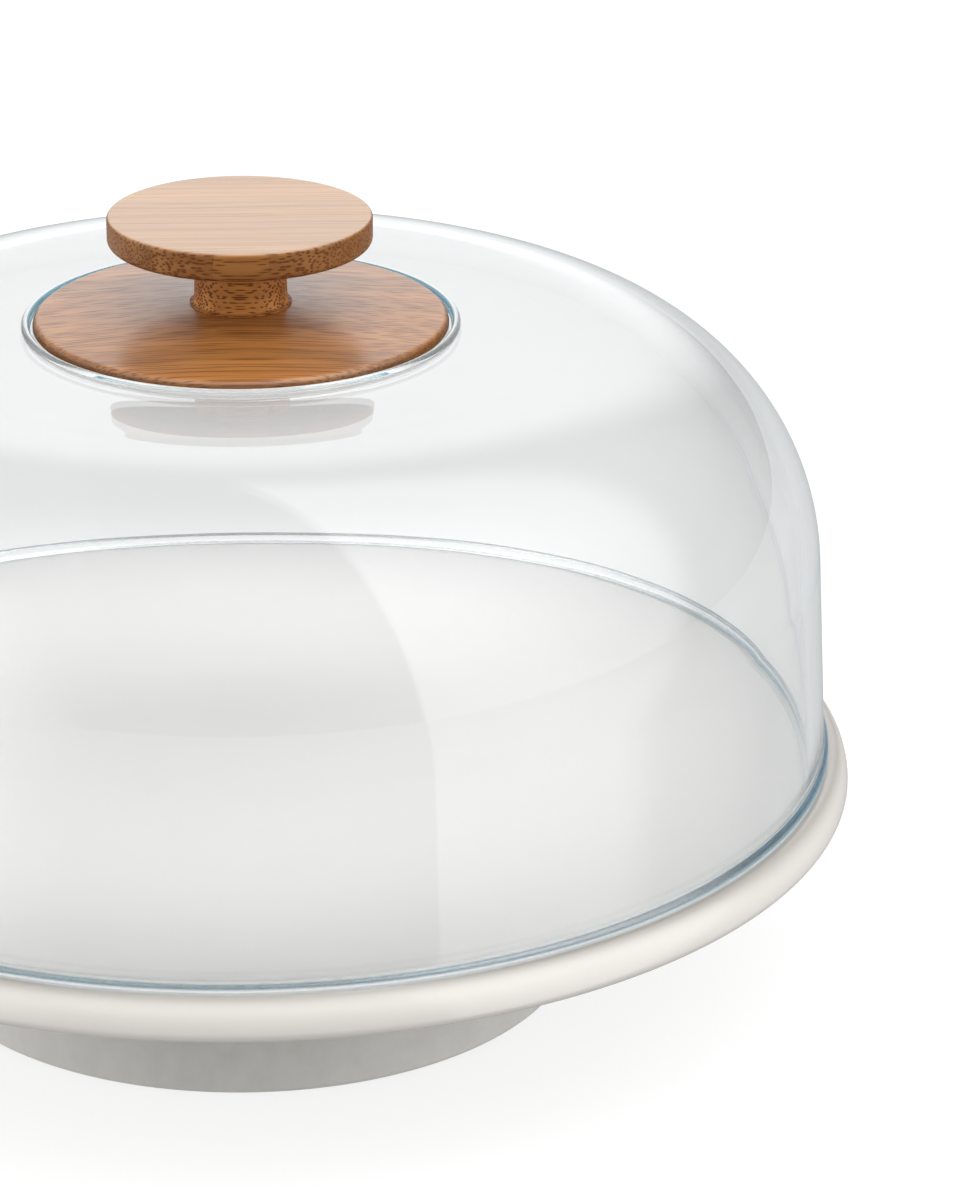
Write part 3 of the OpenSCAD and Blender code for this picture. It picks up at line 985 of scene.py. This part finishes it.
def build_stand():
    """Plate, foot and what holds them together, on the body that stands still."""
    glaze, ceramic, soft = plate_glaze(), foot_ceramic(), silicone()
    steel = turned_metal("steel", STEEL, STEEL_ROUGHNESS)
    brass = turned_metal("brass", BRASS, BRASS_ROUGHNESS)
    bore_r = SCREW_R + BORE_GAP
    place(serving_plate(), glaze, "stand", "serving_plate")
    place(pedestal_foot(), ceramic, "stand", "pedestal_foot")
    gasket = flat_ring("gasket", "foot_gasket", BOSS_R + GASKET_GAP, GASKET_EDGE, 192)
    place(gasket, soft, "stand", "foot_gasket")
    place(knurled_insert("plate_nut", "plate_insert"), brass, "stand", "plate_insert")
    bush = flat_ring("bush", "foot_bush", bore_r, BUSH_EDGE)
    place(bush, soft, "stand", "foot_bush")
    washer = flat_ring("washer", "foot_washer", bore_r, WASHER_EDGE)
    place(washer, steel, "stand", "foot_washer")
    place(screw("foot_bolt", "foot_screw"), steel, "stand", "foot_screw")
    place(foot_pads(), soft, "stand", "foot_pads")


def build_dome():
    """Glass, knob and what holds them together, on the body that lifts.

    The small soft and metal pieces keep the plain materials that came with the frame.
    """
    soft, steel, brass = (bpy.data.materials[name] for name in ("silicone", "steel", "brass"))
    # The last two numbers of each wood are painted: a sheen on faces that look up, and shade on the sides,
    # painted light on the neck's
    grip_wood = bamboo("bamboo_grip", (0.013, 0.0035, 0.0021), coat=1.0, painted_sheen=0.45, side_shading=0.78)
    neck_wood = bamboo("bamboo_neck", (0.211, 0.0312, 0.0107), coat=0.0, painted_sheen=0.0, side_shading=1.5)
    flange_wood = bamboo("bamboo_flange", (0.407, 0.0668, 0.0203), coat=1.0, painted_sheen=0.0, side_shading=0.48)
    place(glass_dome(), clear_glass(), "dome", "glass_dome")
    seat_disc = flat_ring("seat_disc", "seat_gasket", GLASS_HOLE_R, WASHER_EDGE, 160)
    place(seat_disc, soft, "dome", "seat_gasket")
    place(knob_flange(), flange_wood, "dome", "knob_flange")
    place(knob_neck(), neck_wood, "dome", "knob_neck")
    place(knob_grip(), grip_wood, "dome", "knob_grip")
    place(knurled_insert("neck_nut", "neck_insert"), brass, "dome", "neck_insert")
    place(inner_grommet(), soft, "dome", "inner_grommet")
    washer = flat_ring("dome_washer", "clamp_washer", SCREW_R + BORE_GAP, WASHER_EDGE)
    place(washer, steel, "dome", "clamp_washer")
    place(lock_washer(), steel, "dome", "lock_washer")
    place(screw("knob_bolt", "knob_screw"), steel, "dome", "knob_screw")


add_camera()
add_floor()
add_studio()
build_stand()
build_dome()
